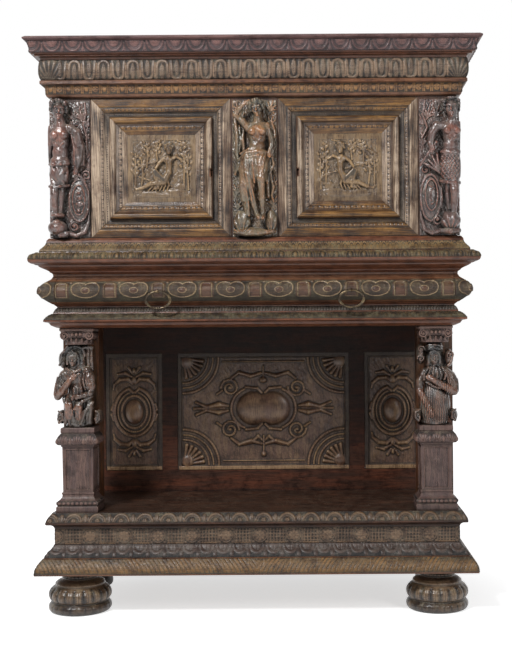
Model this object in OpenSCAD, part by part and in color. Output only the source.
// Cabinet on stand: a carved walnut two-door cabinet over a frieze drawer,
// on an open stand with two carved figures, a panelled back and four bun feet.
// Millimetres. +Z is up, the front faces -Y, and the origin is on the floor
// under the middle of the whole piece.

/* [Plan] */
// Width over the plain carcase, without its mouldings
carcase_w = 1200; // [1100:5:1320]
// Depth of the carcase, from the plain front plane to the back
carcase_d = 450; // [420:5:520]
// Thickness of the walls that carry the mouldings
wall_t = 24; // [20:1:28]
// Thickness of shelves and inner boards
board_t = 18; // [14:1:22]
// Projection of the cornice in front of the plain carcase
cornice_out = 70; // [60:1:80]

/* [Heights] */
// Height of the bun feet
foot_h = 125; // [110:1:140]
// Height of the gadrooned skirt
skirt_h = 47; // [40:1:56]
// Height of the leaf moulding above the skirt
skirt_leaf_h = 36; // [30:1:42]
// Height of the plain base frieze
base_frieze_h = 48; // [40:1:60]
// Height of the moulded edge of the stand shelf
shelf_edge_h = 46; // [42:1:56]
// Clear height of the open stand
bay_h = 547; // [500:5:620]
// Height of the leaf moulding under the drawer
soffit_leaf_h = 43; // [38:1:50]
// Height of the bead band under the drawer
bead_band_h = 28.5; // [24:0.5:36]
// Height of the drawer front
drawer_h = 88.5; // [80:0.5:100]
// Height of the waist cornice between drawer and doors
waist_h = 105.5; // [96:0.5:120]
// Height of the door openings
door_zone_h = 415; // [380:5:470]
// Height of the architrave over the doors
architrave_h = 49; // [44:1:56]
// Height of the pulvinated frieze
cushion_h = 59.5; // [52:0.5:70]
// Height of the cove under the cornice
cornice_cove_h = 16.5; // [14:0.5:22]
// Height of the cornice leaf band
cornice_leaf_h = 32; // [26:1:40]
// Height of the top board's rounded edge
top_board_h = 13.5; // [12:0.5:18]

/* [Doors] */
// Width of the carved corner stiles
corner_stile_w = 114; // [100:1:130]
// Width of the carved centre stile
centre_stile_w = 136; // [120:1:150]
// Thickness of the carved stiles
stile_t = 28; // [26:1:34]
// Thickness of the door frames
door_t = 26; // [25:1:28]
// Width of the door stiles and rails
door_rail_w = 84; // [80:1:92]
// Gap round each door
door_gap = 1; // [0.8:0.1:2]
// Width of the plain outer border of a door
door_border_w = 24; // [20:1:28]
// Height of the raised door moulding over the door face
door_mould_out = 10; // [6:1:14]
// Thickness of the door panels
door_panel_t = 8; // [7:0.5:9]
// Radius of the iron pivot pins
pivot_r = 3; // [2.5:0.1:3.5]
// Length of a pivot pin beyond the door
pivot_out = 12; // [10:1:16]
// Distance of a pivot axis from the door's edge
pivot_in = 8; // [7:0.5:10]
// Height of the keyholes above the foot of the doors
keyhole_z = 199; // [170:1:230]
// Height of a lock case
lock_h = 62; // [50:1:80]
// Travel of a lock bolt
bolt_throw = 10; // [8:1:12]
// Height of a lock bolt
bolt_h = 14; // [10:1:18]

/* [Drawer] */
// How far the drawer front's bulge stands out
drawer_bulge = 35; // [28:1:38]
// Width of each fixed end piece beside the drawer front
drawer_end_w = 12; // [8:1:20]
// Thickness of the drawer sides
drawer_side_t = 12; // [10:1:16]
// Height of the drawer sides
drawer_side_h = 66; // [56:1:70]
// Inside depth of the drawer, front to back
drawer_depth = 350; // [300:5:360]
// Thickness of the drawer bottom
drawer_bottom_t = 6; // [5:0.5:8]
// Distance of each ring pull from the middle
ring_x = 283; // [230:1:330]
// Width of a ring pull over its wire
ring_w = 77; // [66:1:86]
// Height of a ring pull over its wire
ring_h = 55; // [50:1:60]
// Diameter of the ring wire
ring_wire = 6; // [5:0.5:7]

/* [Stand] */
// Width of each front post
post_w = 108; // [96:1:120]
// Depth of each front post
post_d = 75; // [60:1:90]
// Set-back of the front posts behind the carcase front
post_back = 105; // [98:1:125]
// Width of a pedestal shaft at its head
shaft_w = 89; // [80:1:96]
// Width of a pedestal shaft at its foot
shaft_foot_w = 80; // [70:1:88]
// Width of the pedestal cap and foot mouldings
pedestal_w = 124; // [112:1:128]
// Height of a pedestal with its cap
pedestal_h = 250; // [220:1:290]
// Height of a capital with its block
capital_h = 50; // [42:1:60]
// Thickness of the back frame
back_t = 25; // [20:1:30]
// Width of the back frame's outer stiles
back_stile_w = 72; // [60:1:90]
// Width of the back frame's two muntins
muntin_w = 50; // [40:1:64]
// Half the width of the centre back panel's opening
centre_panel_half = 288; // [250:1:320]
// Height of the back frame's bottom rail
back_rail_low = 69; // [56:1:84]
// Height of the back frame's top rail
back_rail_top = 86; // [70:1:110]
// Thickness of the back panels
back_panel_t = 10; // [8:1:12]

/* [Feet] */
// Greatest radius of a bun foot
foot_r = 94; // [84:1:98]
// Radius of the neck of a foot
foot_neck_r = 51; // [44:1:56]
// Distance of the front feet's middle in from the carcase's sides
foot_x = 62; // [55:1:90]
// Greatest radius of a rear foot, smaller and plain
rear_foot_r = 60; // [54:1:94]
// Radius of the neck of a rear foot
rear_foot_neck_r = 36; // [30:1:48]
// Distance of the rear feet's middle in from the carcase's sides
rear_foot_x = 40; // [36:1:90]
// Set-back of the front feet's middle behind the carcase front
foot_back = 60; // [50:1:80]

/* [Hidden] */

// Levels, from the floor up
skirt_z = foot_h;
base_frieze_z = skirt_z + skirt_h + skirt_leaf_h;
shelf_edge_z = base_frieze_z + base_frieze_h;
bay_z = shelf_edge_z + shelf_edge_h;
soffit_z = bay_z + bay_h;
bead_z = soffit_z + soffit_leaf_h;
drawer_z = bead_z + bead_band_h;
waist_z = drawer_z + drawer_h;
door_z = waist_z + waist_h;
architrave_z = door_z + door_zone_h;
cushion_z = architrave_z + architrave_h;
cornice_cove_z = cushion_z + cushion_h;
cornice_leaf_z = cornice_cove_z + cornice_cove_h;
top_board_z = cornice_leaf_z + cornice_leaf_h;

// Planes: the cornice is the foremost piece and the back is flat
half_w = carcase_w / 2;
back_y = (carcase_d + cornice_out) / 2;
front_y = back_y - carcase_d;
inner_half = half_w - wall_t;
inner_front_y = front_y + wall_t;
back_board_t = 15;
back_board_y = back_y - back_board_t;
fit = 0.3;
eps = 1;

// Colours
walnut = "#4a3527";
walnut_red = "#5f3a28";
walnut_dust = "#6b6150";
walnut_dark = "#2f241d";
oak = "#8a6d4c";
iron = "#3a3838";

// Points of a curve in a moulding profile, as [projection, height] pairs.
// cove leaves a upright and meets b level; ovolo leaves a level and meets b upright.
curve_n = 6;
function cove(a, b) = [for (i = [0:curve_n])
  [b[0] + (a[0] - b[0]) * cos(90 * i / curve_n), a[1] + (b[1] - a[1]) * sin(90 * i / curve_n)]];
function ovolo(a, b) = [for (i = [0:curve_n])
  [a[0] + (b[0] - a[0]) * sin(90 * i / curve_n), b[1] + (a[1] - b[1]) * cos(90 * i / curve_n)]];
function cyma(a, b) = [for (i = [0:curve_n])
  [a[0] + (b[0] - a[0]) * (1 - cos(180 * i / curve_n)) / 2, a[1] + (b[1] - a[1]) * i / curve_n]];
function swell(a, b, out, n = 8) = [for (i = [0:n])
  [a[0] + (b[0] - a[0]) * i / n + out * sin(180 * i / n), a[1] + (b[1] - a[1]) * i / n]];

// Moulding profiles, bottom to top. Projections are from the plain carcase plane.
function board_profile(h) = swell([cornice_out - 8, 0], [cornice_out - 8, h], 8);
function cornice_leaf_profile(h) = cove([53, 0], [cornice_out - 10, h]);
function cornice_cove_profile(h) = concat(cove([26, 0], [37, h * 0.5]),
  [[41, h * 0.5], [41, h * 0.75], [47, h * 0.82], [48, h]]);
function cushion_profile(h) = concat(ovolo([18, 0], [28, h * 0.45]), cove([28, h * 0.46], [24, h]));
function architrave_profile(h) = concat(ovolo([2, 0], [13, h * 0.13]), [[14.5, h * 0.18]],
  cove([15, h * 0.54], [24, h * 0.73]), [[28.8, h * 0.78], [28.8, h * 0.95], [26, h]]);
function waist_profile(h) = concat([[0, 0], [3, h * 0.03]], cyma([7, h * 0.05], [35, h * 0.23]),
  [[42, h * 0.245]], ovolo([46, h * 0.27], [60, h * 0.38]), cove([60, h * 0.39], [34, h * 0.58]),
  cyma([33, h * 0.61], [16, h * 0.87]), [[15, h * 0.93], [9, h]]);
function drawer_profile(h) = concat(swell([2, 0], [4, h * 0.835], drawer_bulge, 12),
  [[-0.8, h * 0.93], [0, h]]);
function bead_profile(h) = [[1, 0], [0, h * 0.14], [-10, h * 0.64], [-9, h * 0.74], [0, h]];
function soffit_profile(h) = concat([[-14, 0], [-6, h * 0.06], [6, h * 0.2], [8, h * 0.28]],
  cove([9, h * 0.3], [17, h * 0.4]), [[24, h * 0.45], [24, h * 0.56]],
  [[18.5, h * 0.74], [12, h * 0.87], [2, h]]);
function shelf_edge_profile(h) = concat(cove([1, 0], [20, h * 0.27]),
  [[23, h * 0.32], [23, h * 0.42], [14, h * 0.75], [6, h]]);
function frieze_profile(h) = [[0, 0], [0, h]];
function skirt_profile(h, leaf_h) = concat([[50, 0]], swell([51, h * 0.09], [29, h * 0.96], 4, 6),
  [[26, h]], cyma([26, h * 1.02], [1, h + leaf_h]));

module front_outline(profile) {
  right = [for (q = profile) [half_w + q[0], q[1]]];
  left = [for (i = [len(profile) - 1:-1:0]) [-half_w - profile[i][0], profile[i][1]]];
  polygon(concat(right, left));
}
module side_outline(profile) {
  last = len(profile) - 1;
  front = [for (q = profile) [front_y - q[0], q[1]]];
  polygon(concat(front, [[back_y, profile[last][1]], [back_y, profile[0][1]]]));
}
// A solid whose front and two sides all carry the profile, mitred at the corners
module mitred_block(profile) {
  run = carcase_w + 4 * cornice_out;
  intersection() {
    translate([0, back_y, 0]) rotate([90, 0, 0]) linear_extrude(height = run) front_outline(profile);
    translate([-run / 2, 0, 0]) rotate([90, 0, 90]) linear_extrude(height = run) side_outline(profile);
  }
}
// The hollow course: walls of wall_t behind the plain plane, open at the back if back_wall is 0
module course(profile, z, back_wall = 0) {
  h = profile[len(profile) - 1][1];
  hollow_d = carcase_d - wall_t - back_wall + (back_wall > 0 ? 0 : eps);
  translate([0, 0, z]) difference() {
    mitred_block(profile);
    translate([-inner_half, inner_front_y, -eps]) cube([2 * inner_half, hollow_d, h + 2 * eps]);
  }
}

module cornice_board() color(walnut_red)
  translate([0, 0, top_board_z]) mitred_block(board_profile(top_board_h));
module cornice_leaf_moulding() color(walnut)
  course(cornice_leaf_profile(cornice_leaf_h), cornice_leaf_z);
module cornice_cove() color(walnut_red)
  course(cornice_cove_profile(cornice_cove_h), cornice_cove_z);
module cornice_pulvinated_frieze() color(walnut_dust)
  course(cushion_profile(cushion_h), cushion_z);
module base_frieze() color(walnut)
  course(frieze_profile(base_frieze_h), base_frieze_z, wall_t);
module base_skirt() color(walnut_dust)
  course(skirt_profile(skirt_h, skirt_leaf_h), skirt_z, wall_t);
module lower_frieze_moulding() color(walnut_red)
  course(concat(soffit_profile(soffit_leaf_h), [for (q = bead_profile(bead_band_h))
    [q[0], q[1] + soffit_leaf_h]]), soffit_z);

// Pivot axes of the doors, and the bores that hold their pins
door_w = (carcase_w - 2 * corner_stile_w - centre_stile_w) / 2 - 2 * door_gap;
door_h = door_zone_h - 2 * door_gap;
door_x = centre_stile_w / 2 + door_gap + door_w / 2;
pivot_x = door_x + door_w / 2 - pivot_in;
pivot_y = front_y + 3.6;
pivot_fit = 0.05;
module pivot_bores(z, h) {
  for (side = [-1, 1])
    translate([side * pivot_x, pivot_y, z]) cylinder(r = pivot_r + pivot_fit, h = h, $fn = 48);
}
module architrave() color(walnut_red) difference() {
  course(architrave_profile(architrave_h), architrave_z);
  pivot_bores(architrave_z - eps, pivot_out + 2 * eps);
}
module waist_cornice() color(walnut) difference() {
  course(waist_profile(waist_h), waist_z);
  pivot_bores(door_z - pivot_out - eps, pivot_out + 2 * eps);
}

// Inner boards of the cabinet
inner_d = back_board_y - inner_front_y;
module inner_board(z, t) translate([-inner_half, inner_front_y, z])
  cube([2 * inner_half, inner_d, t]);
module cabinet_top_board() color(oak) inner_board(architrave_z, board_t);
module cabinet_bottom_board() color(oak) inner_board(door_z - board_t, board_t);
shelf_z = door_z + door_zone_h / 2;
lock_room = 24;
module cabinet_shelf() color(oak) translate([-inner_half + eps, front_y + door_t + lock_room, shelf_z])
  cube([2 * (inner_half - eps), back_board_y - front_y - door_t - lock_room - eps, board_t]);
cleat_w = 20;
cleat_h = 24;
cleat_front_y = front_y + door_t + lock_room;
module shelf_cleats() color(oak) for (side = [-1, 1])
  translate([side * (inner_half - cleat_w / 2) - cleat_w / 2, cleat_front_y, shelf_z - cleat_h])
    cube([cleat_w, back_board_y - cleat_front_y - eps, cleat_h]);

// Vertical boards of the cabinet back, with a groove at each joint
back_boards = 7;
module cabinet_back() color(oak) difference() {
  translate([-inner_half, back_board_y, waist_z])
    cube([2 * inner_half, back_board_t, top_board_z - waist_z]);
  for (i = [1:back_boards - 1])
    translate([-inner_half + 2 * inner_half * i / back_boards, back_y, waist_z - eps])
      rotate([0, 0, 45]) translate([-2, -2, 0]) cube([4, 4, top_board_z - waist_z + 2 * eps]);
}

// Framed side with a fielded panel, seen from outside
side_frame_w = 74;
side_sunk = 9;
module cabinet_side() {
  side_len = back_y - front_y - stile_t;
  difference() {
    translate([inner_half, front_y + stile_t, door_z]) cube([wall_t, side_len, door_zone_h]);
    translate([half_w - side_sunk, front_y + stile_t + side_frame_w - 30, door_z + side_frame_w])
      cube([side_sunk + eps, side_len - 2 * side_frame_w + 30, door_zone_h - 2 * side_frame_w]);
  }
  translate([half_w - side_sunk - eps, front_y + stile_t + side_frame_w, door_z + side_frame_w + 30])
    cube([side_sunk - 1, side_len - 2 * side_frame_w - 30, door_zone_h - 2 * side_frame_w - 60]);
}
module cabinet_right_side() color(walnut) cabinet_side();
module cabinet_left_side() color(walnut) mirror([1, 0, 0]) cabinet_side();

// Carved stiles. The bolts shoot into mortises in the centre stile.
bolt_t = 8;
bolt_y = front_y + 14;
bolt_fit = 0.4;
module bolt_mortise() translate([0, bolt_y - bolt_fit, door_z + keyhole_z - bolt_h / 2 - bolt_fit])
  cube([bolt_throw + 4, bolt_t + 2 * bolt_fit, bolt_h + 2 * bolt_fit]);
module corner_stile() translate([half_w - corner_stile_w, front_y, door_z])
  cube([corner_stile_w, stile_t, door_zone_h]);
module right_corner_stile() color(walnut_dust) corner_stile();
module left_corner_stile() color(walnut_dust) mirror([1, 0, 0]) corner_stile();
module centre_stile() color(walnut_dust) difference() {
  translate([-centre_stile_w / 2, front_y, door_z]) cube([centre_stile_w, stile_t, door_zone_h]);
  for (side = [0, 1]) mirror([side, 0, 0])
    translate([centre_stile_w / 2 - bolt_throw - 3, 0, 0]) bolt_mortise();
}

// Carved figures are built up from rounded limbs and end flat against the stile.
// Each point of a chain is [sideways, forward, up, radius], in thousandths of the height h.
fold_fn = 6;
limb_fn = 8;
body_fn = 10;
module limb(a, b, ra, rb, fn = limb_fn) hull() {
  translate(a) sphere(r = ra, $fn = fn);
  translate(b) sphere(r = rb, $fn = fn);
}
function along(q, h) = [q[0], q[1], q[2]] * h / 1000;
module chain(points, h, fn = limb_fn) for (i = [0:len(points) - 2]) {
  a = points[i];
  b = points[i + 1];
  limb(along(a, h), along(b, h), a[3] * h / 1000, b[3] * h / 1000, fn);
}
// An upright oval board, from behind the stile's face to thick in front of it
function oval(a, b, n = 28) = [for (i = [0:n - 1]) [a * cos(360 * i / n), b * sin(360 * i / n)]];
module oval_board(x, z, a, b, thick, h) translate([x, thick, z] * h / 1000)
  rotate([90, 0, 0]) linear_extrude(height = thick * h / 1000 + eps)
    polygon(oval(a * h / 1000, b * h / 1000));
module scroll(x, z, r, thick, h) translate([x, thick, z] * h / 1000)
  rotate([90, 0, 0]) cylinder(r = r * h / 1000, h = thick * h / 1000 + eps, $fn = 32);
// Places a figure: its base at height z, its middle at x, its spine out from the stile
module figure_at(x, z) translate([x, front_y, z]) mirror([0, 1, 0]) children();

figure_h = door_zone_h - 8;
// A ribbed ball under a figure's feet, with its middle at gourd_fore
gourd_fore = 30;
module gourd(x, z, r, h) {
  y = gourd_fore;
  chain([[x, y, z + 6, r], [x, y, z - 6, r]], h, body_fn);
  for (side = [-56, 0, 56]) {
    out = r * sin(side);
    fore = r * cos(side);
    chain([[x + out * 0.4, y + fore * 0.4, z + r * 0.9, 11], [x + out, y + fore, z, 16],
      [x + out * 0.6, y + fore * 0.6, z - r * 0.75, 11]], h, fold_fn);
  }
}
// Trunk, hair and head, outer arm, skirt, legs, shield and footing of a corner figure
module corner_figure_body(h) {
  chain([[7, 81, 880, 46], [5, 76, 928, 53]], h, body_fn);
  chain([[5, 52, 938, 60], [8, 46, 880, 54]], h, body_fn);
  chain([[7, 69, 850, 30], [12, 61, 790, 36]], h);
  chain([[-54, 54, 764, 30], [84, 54, 764, 30]], h);
  chain([[-16, 62, 735, 56], [-12, 60, 640, 44], [-18, 52, 560, 58]], h, body_fn);
  chain([[40, 62, 735, 56], [28, 60, 640, 44], [26, 52, 560, 58]], h, body_fn);
  for (x = [-24, 40]) chain([[x, 104, 704, 20], [x, 102, 694, 22]], h, fold_fn);
  chain([[-68, 80, 536, 18], [-8, 104, 528, 18], [66, 80, 536, 18]], h, fold_fn);
  chain([[-20, 54, 530, 58], [-36, 56, 410, 58]], h, body_fn);
  chain([[30, 54, 530, 58], [30, 52, 410, 58]], h, body_fn);
  chain([[-74, 72, 396, 16], [-4, 96, 388, 16], [70, 66, 396, 16]], h, fold_fn);
  chain([[-64, 49, 750, 28], [-81, 34, 640, 24], [-78, 40, 530, 20]], h);
  chain([[-34, 66, 393, 38], [-34, 70, 280, 32], [-30, 56, 150, 22], [-30, 78, 132, 18]], h);
  chain([[22, 52, 393, 36], [14, 50, 270, 28], [4, 44, 150, 20]], h);
  gourd(-14, 76, 66, h);
  chain([[40, 34, 30, 28], [150, 30, 26, 20], [190, 16, 130, 14]], h, fold_fn);
  oval_board(130, 275, 74, 164, 34, h);
  oval_board(130, 275, 52, 124, 48, h);
  scroll(168, 456, 36, 26, h);
  scroll(98, 86, 34, 52, h);
}
// The left one's inner arm hangs in a sleeve, the right one's holds a slanting staff
module sleeved_arm(h) {
  chain([[98, 49, 755, 32], [146, 40, 645, 28], [124, 47, 490, 24], [112, 60, 450, 18]], h);
  chain([[100, 40, 700, 24], [116, 44, 560, 26], [140, 34, 480, 16]], h, fold_fn);
}
module staff_arm(h) {
  chain([[70, 56, 770, 30], [118, 60, 790, 27], [126, 60, 665, 22], [112, 66, 620, 18]], h);
  chain([[84, 62, 676, 11], [190, 36, 512, 10]], h, fold_fn);
  for (a = [-52, -18, 16])
    chain([[66, 40, 456, 14], [66 - 120 * sin(a - 16), 42, 456 + 120 * cos(a - 16), 18]], h, fold_fn);
}
corner_figure_in = 28;
module corner_place() figure_at(half_w - corner_figure_in, door_z) mirror([1, 0, 0]) children();
module right_corner_figure() color(walnut) figure_clip() corner_place() {
  corner_figure_body(figure_h);
  staff_arm(figure_h);
}
module left_corner_figure() color(walnut) figure_clip() mirror([1, 0, 0]) corner_place() {
  corner_figure_body(figure_h);
  sleeved_arm(figure_h);
}
// Nothing of a figure passes behind the stile's face or out of the door zone
figure_out = 60;
figure_side = 8;
module figure_clip() intersection() {
  children();
  translate([-half_w - figure_side, front_y - figure_out, door_z + fit])
    cube([carcase_w + 2 * figure_side, figure_out, door_zone_h - 2 * fit]);
}
// The centre figure lifts an arm to its head, and a ribbon falls at its side
module centre_figure_body(h) {
  chain([[29, 84, 896, 44], [22, 78, 936, 50]], h, body_fn);
  chain([[22, 54, 946, 56], [30, 48, 890, 52]], h, body_fn);
  chain([[27, 64, 868, 28], [27, 59, 800, 34]], h);
  chain([[-42, 61, 774, 30], [101, 61, 766, 30]], h);
  chain([[6, 66, 740, 54], [4, 60, 644, 42], [-12, 54, 585, 56]], h, body_fn);
  chain([[52, 66, 740, 54], [40, 60, 644, 42], [42, 54, 585, 56]], h, body_fn);
  for (x = [-4, 60]) chain([[x, 108, 712, 20], [x, 106, 702, 22]], h, fold_fn);
  chain([[-50, 64, 790, 28], [-133, 74, 875, 22], [-64, 84, 950, 17], [-20, 88, 966, 15]], h);
  chain([[108, 60, 750, 26], [124, 59, 658, 20], [108, 74, 600, 17], [114, 84, 566, 14]], h);
  chain([[-24, 58, 520, 66], [-42, 66, 430, 52], [-40, 56, 330, 44]], h, body_fn);
  chain([[44, 58, 520, 66], [50, 66, 440, 46]], h, body_fn);
  chain([[-44, 90, 420, 38], [-29, 84, 360, 30], [12, 64, 172, 22], [34, 88, 138, 18]], h);
  chain([[52, 94, 440, 40], [56, 88, 353, 30], [59, 61, 177, 21], [61, 93, 138, 18]], h);
  chain([[-84, 49, 553, 32], [-90, 46, 369, 30], [-66, 44, 172, 20]], h, fold_fn);
  chain([[103, 44, 580, 24], [98, 34, 400, 20], [98, 29, 295, 16]], h, fold_fn);
  chain([[-108, 50, 555, 18], [-15, 98, 598, 20], [88, 74, 604, 18]], h, fold_fn);
  chain([[146, 45, 720, 13], [122, 50, 627, 13], [140, 46, 521, 13], [122, 40, 413, 12],
    [135, 30, 270, 11]], h, fold_fn);
  gourd(-90, 98, 60, h);
  gourd(110, 98, 44, h);
  chain([[-110, 40, 34, 34], [110, 40, 34, 34]], h);
}
module centre_figure() color(walnut) figure_clip()
  figure_at(0, door_z) centre_figure_body(figure_h);

// A frame whose four members carry one profile, mitred. Profile points are
// [distance in from the edge, projection].
mitre_cut = 200;
module mitred_member(length, half, profile, reach) intersection() {
  translate([-length / 2, 0, -half]) rotate([90, 0, 90]) linear_extrude(height = length)
    polygon([for (q = profile) [-q[1], q[0]]]);
  rotate([90, 0, 0]) translate([0, 0, -mitre_cut / 2]) linear_extrude(height = mitre_cut)
    polygon([[-length / 2, -half], [length / 2, -half],
      [length / 2 - reach, -half + reach], [-length / 2 + reach, -half + reach]]);
}
module mitred_frame(w, h, profile, reach) {
  for (a = [0, 180]) rotate([0, a, 0]) mitred_member(w, h / 2, profile, reach);
  for (a = [90, 270]) rotate([0, a, 0]) mitred_member(h, w / 2, profile, reach);
}
// Door members. The frame is sunk for the raised moulding and grooved for the panel.
frame_sunk = 8;
panel_sunk = 12;
groove_d = 8;
groove_fit = 0.2;
mould_in = 56;
mould_w = 52;
door_frame_profile = [[0, 0], [door_border_w, 0], [door_border_w + 1, -2], [door_border_w + 3, -2],
  [door_border_w + 4, -0.5], [38, -2], [41, -5], [46, -7.4], [50, -frame_sunk],
  [door_rail_w, -frame_sunk], [door_rail_w, -panel_sunk + groove_fit],
  [door_rail_w - groove_d, -panel_sunk + groove_fit],
  [door_rail_w - groove_d, -panel_sunk - door_panel_t - groove_fit],
  [door_rail_w, -panel_sunk - door_panel_t - groove_fit], [door_rail_w, -door_t], [0, -door_t]];
door_mould_profile = [[mould_in, -frame_sunk], [mould_in, 3], [mould_in + 2, 6],
  [mould_in + 5, door_mould_out - 1], [mould_in + 9, door_mould_out], [mould_in + 13, door_mould_out - 1],
  [mould_in + 17, 5], [mould_in + 19, 0], [mould_in + 22, -3], [mould_in + 25, -3.5],
  [mould_in + 36, -5], [mould_in + 38, -6.5], [mould_in + mould_w - 3, -9],
  [mould_in + mould_w, -10], [mould_in + mould_w, -panel_sunk], [door_rail_w + fit, -panel_sunk],
  [door_rail_w + fit, -frame_sunk]];
keyhole_in = 59;
module keyhole() translate([-door_w / 2 + keyhole_in, 0, keyhole_z - door_zone_h / 2]) {
  rotate([90, 0, 0]) translate([0, 0, -16]) cylinder(r = 3.5, h = 40, $fn = 48);
  translate([-1.9, -24, -18]) cube([3.8, 40, 18]);
}
lock_case_t = 12.6;
lock_w = 74;
lock_y = door_t - lock_case_t;
// Doors are drawn centred, with the free edge at -X and the front face at y = 0
module door_frame() difference() {
  mitred_frame(door_w, door_h, door_frame_profile, door_rail_w + eps);
  keyhole();
  translate([-door_w / 2 - eps, lock_y, keyhole_z - door_zone_h / 2 - lock_h / 2])
    cube([lock_w + eps, lock_case_t + eps, lock_h]);
  for (end = [-1, 1]) {
    translate([door_w / 2 - pivot_in, pivot_y - front_y, end * (door_h / 2 - 15) - 15.5])
      cylinder(r = pivot_r, h = 31, $fn = 48);
  }
}
module door_moulding() difference() {
  mitred_frame(door_w, door_h, door_mould_profile, mould_in + mould_w + eps);
  keyhole();
}
// The panel with a low carved figure that sits in a landscape, legs out to one side
panel_w = door_w - 2 * (door_rail_w - groove_d) - 0.6;
panel_h = door_h - 2 * (door_rail_w - groove_d) - 0.6;
relief_w = 160;
relief_flat = 0.55;
// Each point is [sideways, up, radius]
module relief_limb(a, b) intersection() {
  translate([0, panel_sunk, 0]) scale([1, relief_flat, 1])
    limb([a[0], 0, a[1]], [b[0], 0, b[1]], a[2], b[2]);
  translate([-relief_w, 0, -relief_w]) cube([2 * relief_w, panel_sunk + 0.1, 2 * relief_w]);
}
module relief_chain(points) for (i = [0:len(points) - 2]) relief_limb(points[i], points[i + 1]);
module door_panel() {
  translate([-panel_w / 2, panel_sunk, -panel_h / 2]) cube([panel_w, door_panel_t, panel_h]);
  relief_chain([[-31, 52, 13], [-31, 58, 13]]);
  relief_chain([[-31, 28, 14], [-35, -28, 13]]);
  relief_chain([[-19, 28, 7], [3, 8, 5]]);
  relief_chain([[-43, 28, 7], [-77, 12, 5]]);
  relief_chain([[-31, -32, 14], [11, -22, 10], [25, -44, 8], [60, -55, 6]]);
  relief_chain([[-26, -38, 13], [2, -62, 8]]);
  for (x = [-84, -66, 48, 66]) relief_chain([[x, -66, 4], [x, 60, 4]]);
}
// Iron box lock let into the back of the door, with a channel for its bolt
bolt_len = 56;
module lock_case() difference() {
  translate([-door_w / 2, lock_y, keyhole_z - door_zone_h / 2 - lock_h / 2])
    translate([0.3, 0.2, fit]) cube([lock_w - 0.6, lock_case_t - 0.2, lock_h - 2 * fit]);
  translate([-door_w / 2 - eps, bolt_y - front_y - bolt_fit,
    keyhole_z - door_zone_h / 2 - bolt_h / 2 - bolt_fit])
    cube([bolt_len + eps + 2, bolt_t + 2 * bolt_fit, bolt_h + 2 * bolt_fit]);
}
module lock_bolt() translate([-door_w / 2 + 0.5, bolt_y - front_y, keyhole_z - door_zone_h / 2 - bolt_h / 2])
  cube([bolt_len, bolt_t, bolt_h]);
// Pivot pins of a door, with a washer that carries its weight
module pivot_pins() translate([door_w / 2 - pivot_in, pivot_y - front_y, 0]) {
  translate([0, 0, door_h / 2 - 30]) cylinder(r = pivot_r, h = 30 + door_gap + pivot_out - 0.5, $fn = 48);
  translate([0, 0, -door_h / 2 - door_gap - pivot_out + 0.5])
    cylinder(r = pivot_r, h = 30 + door_gap + pivot_out - 0.5, $fn = 48);
  translate([0, 0, -door_h / 2 - door_gap + fit]) cylinder(r = pivot_r + 0.5, h = door_gap - fit, $fn = 48);
}
module hang_right() translate([door_x, front_y, door_z + door_zone_h / 2]) children();
module hang_left() mirror([1, 0, 0]) hang_right() children();
module right_door_frame() color(walnut_red) hang_right() door_frame();
module right_door_moulding() color(walnut_red) hang_right() door_moulding();
module right_door_panel() color(walnut_dust) hang_right() door_panel();
module right_door_lock() color(iron) hang_right() lock_case();
module right_lock_bolt() color(iron) hang_right() lock_bolt();
module right_door_pivots() color(iron) hang_right() pivot_pins();
module left_door_frame() color(walnut_red) hang_left() door_frame();
module left_door_moulding() color(walnut_red) hang_left() door_moulding();
module left_door_panel() color(walnut_dust) hang_left() door_panel();
module left_door_lock() color(iron) hang_left() lock_case();
module left_lock_bolt() color(iron) hang_left() lock_bolt();
module left_door_pivots() color(iron) hang_left() pivot_pins();

// Drawer case: end returns of the bulge, inner sides, soffit board, runners and kickers
case_side_t = 16;
front_half = half_w - drawer_end_w;
runner_w = 30;
runner_t = 16;
runner_z = drawer_z;
kicker_z = drawer_z + fit + drawer_side_h + 3;
case_top_z = door_z - board_t;
drawer_front_gap = 0.8;
module drawer_case() color(walnut) {
  difference() {
    course(drawer_profile(drawer_h), drawer_z);
    translate([-front_half, front_y - cornice_out, drawer_z - eps])
      cube([2 * front_half, cornice_out + wall_t + eps, drawer_h + 2 * eps]);
  }
  difference() {
    union() {
      for (side = [-1, 1])
        translate([side * (inner_half - case_side_t / 2) - case_side_t / 2, inner_front_y, soffit_z])
          cube([case_side_t, back_y - inner_front_y, case_top_z - soffit_z]);
      translate([-inner_half, back_board_y, soffit_z])
        cube([2 * inner_half, back_board_t, waist_z - soffit_z]);
      translate([-inner_half, inner_front_y, soffit_z])
        cube([2 * inner_half, back_y - inner_front_y, case_side_t]);
      for (side = [-1, 1], z = [runner_z - runner_t, kicker_z])
        translate([side * (inner_half - case_side_t - runner_w / 2) - runner_w / 2, inner_front_y, z])
          cube([runner_w, back_y - inner_front_y, runner_t]);
    }
    translate([-inner_half - eps, back_board_y, waist_z])
      cube([2 * inner_half + 2 * eps, back_board_t + eps, waist_h]);
  }
}
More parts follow.
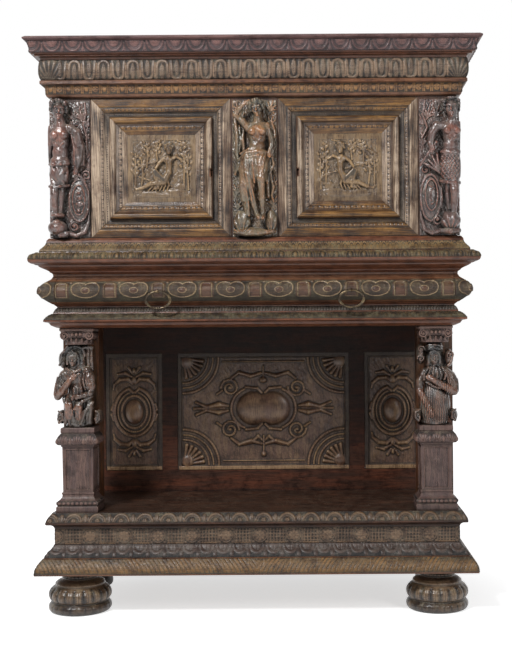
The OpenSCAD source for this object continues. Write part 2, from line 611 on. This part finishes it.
// Drawer front: the same bulge as the end returns, in one long board
module drawer_front() color(walnut_dust) intersection() {
  translate([0, 0, drawer_z]) mitred_block(drawer_profile(drawer_h));
  translate([-front_half + drawer_front_gap, front_y - cornice_out, drawer_z + drawer_front_gap])
    cube([2 * (front_half - drawer_front_gap), cornice_out + wall_t - fit,
      drawer_h - 2 * drawer_front_gap]);
}
drawer_half = inner_half - case_side_t - 2;
drawer_box_z = runner_z + fit;
bottom_up = 8;
bottom_in = 5;
module drawer_box() color(oak) difference() {
  translate([-drawer_half, inner_front_y - fit, drawer_box_z])
    cube([2 * drawer_half, drawer_depth + fit + drawer_side_t, drawer_side_h]);
  translate([-drawer_half + drawer_side_t, inner_front_y - fit - eps, drawer_box_z - eps])
    cube([2 * (drawer_half - drawer_side_t), drawer_depth + fit + eps, drawer_side_h + 2 * eps]);
  translate([-drawer_half + drawer_side_t - bottom_in, inner_front_y - fit - eps,
    drawer_box_z + bottom_up])
    cube([2 * (drawer_half - drawer_side_t + bottom_in), drawer_depth + fit + eps + bottom_in,
      drawer_bottom_t]);
}
module drawer_bottom() color(oak)
  translate([-drawer_half + drawer_side_t - bottom_in + 0.2, inner_front_y - fit,
    drawer_box_z + bottom_up + 0.1])
    cube([2 * (drawer_half - drawer_side_t + bottom_in) - 0.4, drawer_depth + fit + bottom_in - 0.2,
      drawer_bottom_t - 0.2]);

// Oval ring pulls of round wire on eye staples at the bulge's crest
ring_out = 2 + drawer_bulge + 8;
ring_pin_z = drawer_z + 34;
ring_b = (ring_h - ring_wire) / 2;
module oval_ring() scale([(ring_w - ring_wire) / (ring_h - ring_wire), 1, 1]) rotate([90, 0, 0])
  rotate_extrude($fn = 96) translate([ring_b, 0]) circle(d = ring_wire, $fn = 32);
module ring_at(x) translate([x, front_y - ring_out, ring_pin_z - ring_b]) oval_ring();
module left_ring_pull() color(iron) ring_at(-ring_x);
module right_ring_pull() color(iron) ring_at(ring_x);
staple_w = 5;
eye_r = ring_wire / 2 + 0.5;
staple_seat = drawer_bulge + 3.1;
module ring_staples() color(iron) for (side = [-1, 1]) translate([side * ring_x, 0, ring_pin_z]) {
  translate([-staple_w / 2, front_y - ring_out, 0]) rotate([0, 90, 0]) difference() {
    cylinder(r = eye_r + 2.5, h = staple_w, $fn = 48);
    translate([0, 0, -eps]) cylinder(r = eye_r, h = staple_w + 2 * eps, $fn = 48);
  }
  translate([-staple_w / 2, front_y - ring_out + eye_r + 1, -2.5])
    cube([staple_w, ring_out - eye_r - 1 - staple_seat, 5]);
}

// Open stand: front posts with pedestals, carved figures and capitals before them
post_in = 5;
pedestal_in = 3;
pedestal_back = 5;
post_x = half_w - post_in - post_w / 2;
pedestal_x = half_w - pedestal_in - pedestal_w / 2;
post_front_y = front_y + post_back;
pedestal_front_y = front_y + pedestal_back;
module post() translate([post_x - post_w / 2, post_front_y, bay_z]) cube([post_w, post_d, bay_h]);
module right_post() color(walnut_dark) post();
module left_post() color(walnut_dark) mirror([1, 0, 0]) post();

pedestal_d = post_front_y - pedestal_front_y;
// A block that is square to the post, w wide, with its front set back by in
module stand_block(w, z0, z1, in) translate([pedestal_x - w / 2, pedestal_front_y + in, z0])
  cube([w, pedestal_d - in, z1 - z0]);
function flare(w0, w1, z0, z1, n) = [for (i = [0:n])
  [w0 + (w1 - w0) * (1 - cos(90 * i / n)), z0 + (z1 - z0) * i / n]];
// Three-sided mouldings of a pedestal from one outline of [half width, height] points
module pedestal_turned(points) intersection() {
  translate([pedestal_x, post_front_y, 0]) rotate([90, 0, 0]) linear_extrude(height = 2 * pedestal_w)
    polygon(concat([for (q = points) q], [for (i = [len(points) - 1:-1:0]) [-points[i][0], points[i][1]]]));
  translate([pedestal_x - pedestal_w, 0, 0]) rotate([90, 0, 90]) linear_extrude(height = 2 * pedestal_w)
    polygon(concat([for (q = points) [pedestal_front_y + pedestal_w / 2 - q[0], q[1]]],
      [[post_front_y, points[len(points) - 1][1]], [post_front_y, points[0][1]]]));
}
plinth_h = 16;
cap_h = 52;
foot_mould_h = 48;
module pedestal() {
  z = bay_z;
  top = bay_z + pedestal_h;
  half = pedestal_w / 2;
  pedestal_turned(concat([[half, z], [half, z + plinth_h]], [[half - 3, z + plinth_h + 3]],
    [[half - 1, z + plinth_h + 8]], flare(half - 3, shaft_foot_w / 2 + 4, z + plinth_h + 11,
      z + foot_mould_h, 4), [[shaft_foot_w / 2, z + foot_mould_h + 4]],
    [[shaft_w / 2, top - cap_h - 6], [shaft_w / 2 + 3, top - cap_h]],
    [[half - 1, top - cap_h + 4], [half, top - cap_h + 14]],
    [[half - 5, top - cap_h + 28], [shaft_w / 2 + 4, top - 8], [shaft_w / 2 + 2, top]]));
}
module right_pedestal() color(walnut) pedestal();
module left_pedestal() color(walnut) mirror([1, 0, 0]) pedestal();

// Capitals: a square abacus, a block and two scrolls that run back to the post
volute_r = 15;
volute_out = 4;
capital_w = 100;
abacus_h = 18;
module capital() {
  z = soffit_z - capital_h;
  stand_block(capital_w, soffit_z - abacus_h, soffit_z, 8);
  stand_block(shaft_w, z, soffit_z - abacus_h, 16);
  for (side = [-1, 1])
    translate([pedestal_x + side * (capital_w / 2 - volute_r + volute_out), post_front_y,
      soffit_z - abacus_h - volute_r])
      rotate([90, 0, 0]) cylinder(r = volute_r, h = pedestal_d - volute_out, $fn = 48);
}
module right_capital() color(walnut_dust) capital();
module left_capital() color(walnut_dust) mirror([1, 0, 0]) capital();

caryatid_z = bay_z + pedestal_h;
caryatid_h = bay_h - pedestal_h - capital_h;
// Half-length figure in thick cloth: outer arm across the chest, inner arm at the waist,
// ending in scrolls at both sides. The head's middle stands head_x towards the outside.
module caryatid_body(h, head_x) {
  for (side = [-1, 1]) {
    chain([[side * 88, -30, 640, 96], [side * 62, 8, 480, 104], [side * 66, 4, 260, 124],
      [side * 56, 10, 90, 126]], h, body_fn);
    chain([[side * 60, -110, 800, 120], [side * 90, -150, 420, 120], [side * 80, -150, 90, 120]],
      h, body_fn);
  }
  chain([[0, 60, 620, 84], [0, 64, 470, 78], [0, 70, 250, 84], [0, 60, 80, 84]], h, body_fn);
  chain([[head_x, 20, 770, 60], [head_x / 2, 26, 690, 68]], h);
  chain([[head_x, 60, 812, 78], [head_x, 54, 862, 84]], h, body_fn);
  chain([[head_x - 70, -10, 690, 56], [head_x - 64, 6, 850, 60], [head_x, 10, 905, 80],
    [head_x + 64, 6, 850, 60], [head_x + 70, -10, 690, 56]], h);
  chain([[-76, 50, 640, 76], [-60, 84, 585, 54]], h);
  chain([[76, 50, 640, 76], [70, 84, 580, 54]], h);
  chain([[100, 4, 650, 84], [176, 4, 600, 80], [222, 12, 500, 72], [220, 30, 415, 62]], h);
  chain([[222, 45, 400, 56], [60, 134, 500, 42], [-70, 142, 585, 34]], h);
  chain([[-110, 4, 640, 80], [-176, 26, 520, 62], [-186, 36, 413, 54]], h);
  chain([[-182, 50, 397, 48], [-65, 140, 214, 38], [-38, 140, 150, 32]], h);
  for (q = [[-120, 84, 60], [-62, 118, 44], [4, 124, 40], [66, 116, 44], [122, 80, 60]])
    chain([[q[0] * 0.8, q[1], 340, q[2]], [q[0], q[1] - 6, 50, q[2] + 4]], h, fold_fn);
  chain([[-166, 20, 930, 50], [-176, 20, 700, 46]], h, fold_fn);
  for (q = [[226, 121, 66], [-214, 121, 60], [176, 852, 64]]) caryatid_scroll(q[0], q[1], q[2], h);
  chain([[150, -40, 820, 60], [190, -20, 680, 50]], h, fold_fn);
}
caryatid_scroll_fore = 40;
caryatid_scroll_len = 260;
module caryatid_scroll(x, z, r, h) translate([x, caryatid_scroll_fore, z] * h / 1000)
  rotate([90, 0, 0]) cylinder(r = r * h / 1000, h = caryatid_scroll_len * h / 1000, $fn = 32);
caryatid_out = 52;
module caryatid(head_x) intersection() {
  translate([pedestal_x, post_front_y - caryatid_out, caryatid_z]) mirror([0, 1, 0])
    caryatid_body(caryatid_h, head_x);
  translate([pedestal_x - pedestal_w, post_front_y - 2 * pedestal_w, caryatid_z])
    cube([2 * pedestal_w, 2 * pedestal_w, caryatid_h]);
}
module right_caryatid() color(walnut_red) caryatid(-12);
module left_caryatid() color(walnut_red) mirror([1, 0, 0]) caryatid(60);

// Panelled back of the stand
back_frame_y = back_y - back_t;
panel_low = bay_z + back_rail_low;
panel_top = soffit_z - back_rail_top;
side_panel_in = centre_panel_half + muntin_w;
side_panel_out = half_w - back_stile_w;
sill_w = 14;
module panel_opening(x0, x1, grow) translate([x0 - grow, back_frame_y - eps, panel_low - grow])
  cube([x1 - x0 + 2 * grow, back_t + 2 * eps, panel_top - panel_low + 2 * grow]);
module back_frame() color(walnut_dark) difference() {
  translate([-half_w, back_frame_y, bay_z]) cube([carcase_w, back_t, bay_h]);
  panel_opening(-centre_panel_half, centre_panel_half, 0);
  panel_opening(side_panel_in, side_panel_out, 0);
  panel_opening(-side_panel_out, -side_panel_in, 0);
}
// Panels are fielded, with a carved boss in the middle
module back_panel(x0, x1, boss_w, boss_h) {
  mid_x = (x0 + x1) / 2;
  mid_z = (panel_low + panel_top) / 2;
  difference() {
    translate([x0 + fit, back_frame_y + 4, panel_low + fit])
      cube([x1 - x0 - 2 * fit, back_t - 8, panel_top - panel_low - 2 * fit]);
    translate([x0 + sill_w, back_frame_y, panel_low + sill_w])
      cube([x1 - x0 - 2 * sill_w, back_t - 4 - back_panel_t, panel_top - panel_low - 2 * sill_w]);
  }
  translate([mid_x, back_frame_y + back_t - 4 - back_panel_t, mid_z]) rotate([90, 0, 0])
    scale([boss_w / boss_h, 1, 1]) {
      cylinder(d1 = boss_h, d2 = boss_h * 0.86, h = 5, $fn = 40);
      cylinder(d1 = boss_h * 0.74, d2 = boss_h * 0.5, h = 10, $fn = 40);
    }
}
module centre_back_panel() color(walnut_dust)
  back_panel(-centre_panel_half, centre_panel_half, 150, 130);
module right_back_panel() color(walnut_dust)
  back_panel(side_panel_in, side_panel_out, 78, 100);
module left_back_panel() color(walnut_dust) mirror([1, 0, 0])
  back_panel(side_panel_in, side_panel_out, 78, 100);

// Stand shelf with its moulded edge, hollow below
shelf_board_t = 24;
module stand_shelf() color(walnut) difference() {
  translate([0, 0, shelf_edge_z]) mitred_block(shelf_edge_profile(shelf_edge_h));
  translate([-inner_half, inner_front_y, shelf_edge_z - eps])
    cube([2 * inner_half, carcase_d - 2 * wall_t, shelf_edge_h - shelf_board_t + eps]);
}
module base_bottom_board() color(oak) translate([-inner_half, inner_front_y, skirt_z])
  cube([2 * inner_half, carcase_d - 2 * wall_t, board_t]);

// Turned feet, from the floor up: roll, bun, shoulder ring, neck and bead
function foot_arc(r0, r1, z0, z1, out, n = 8) = [for (i = [0:n])
  [r0 + (r1 - r0) * i / n + out * sin(180 * i / n), z0 + (z1 - z0) * i / n]];
module foot_body(r, neck_r) {
  k = foot_h / 125;
  rotate_extrude($fn = 96) polygon(concat([[0, 0]],
    foot_arc(r - 12, r - 12, 0, 31 * k, 12),
    foot_arc(r - 11, r - 21, 32.5 * k, 78 * k, 15, 12),
    foot_arc(r - 22, neck_r + 5, 80 * k, 95 * k, 6, 6),
    [[neck_r, 98 * k], [neck_r, 102 * k]],
    foot_arc(neck_r + 2, neck_r + 2, 103 * k, 112 * k, 3, 4),
    [[neck_r, 114 * k], [neck_r, foot_h], [0, foot_h]]));
}
foot_to_back = 3;
module front_foot() translate([half_w - foot_x, front_y + foot_back, 0]) foot_body(foot_r, foot_neck_r);
module rear_foot() translate([half_w - rear_foot_x, back_y - rear_foot_r - foot_to_back, 0])
  foot_body(rear_foot_r, rear_foot_neck_r);
module front_right_foot() color(walnut) front_foot();
module front_left_foot() color(walnut) mirror([1, 0, 0]) front_foot();
module rear_right_foot() color(walnut_dark) rear_foot();
module rear_left_foot() color(walnut_dark) mirror([1, 0, 0]) rear_foot();

cornice_board();
cornice_leaf_moulding();
cornice_cove();
cornice_pulvinated_frieze();
architrave();
cabinet_top_board();
cabinet_bottom_board();
cabinet_left_side();
cabinet_right_side();
cabinet_back();
cabinet_shelf();
shelf_cleats();
left_corner_stile();
left_corner_figure();
centre_stile();
centre_figure();
right_corner_stile();
right_corner_figure();
left_door_frame();
left_door_moulding();
left_door_panel();
left_door_lock();
left_lock_bolt();
left_door_pivots();
right_door_frame();
right_door_moulding();
right_door_panel();
right_door_lock();
right_lock_bolt();
right_door_pivots();
waist_cornice();
drawer_case();
drawer_front();
drawer_box();
drawer_bottom();
left_ring_pull();
right_ring_pull();
ring_staples();
lower_frieze_moulding();
left_post();
right_post();
left_capital();
right_capital();
left_caryatid();
right_caryatid();
left_pedestal();
right_pedestal();
back_frame();
left_back_panel();
centre_back_panel();
right_back_panel();
stand_shelf();
base_frieze();
base_skirt();
base_bottom_board();
front_left_foot();
front_right_foot();
rear_left_foot();
rear_right_foot();
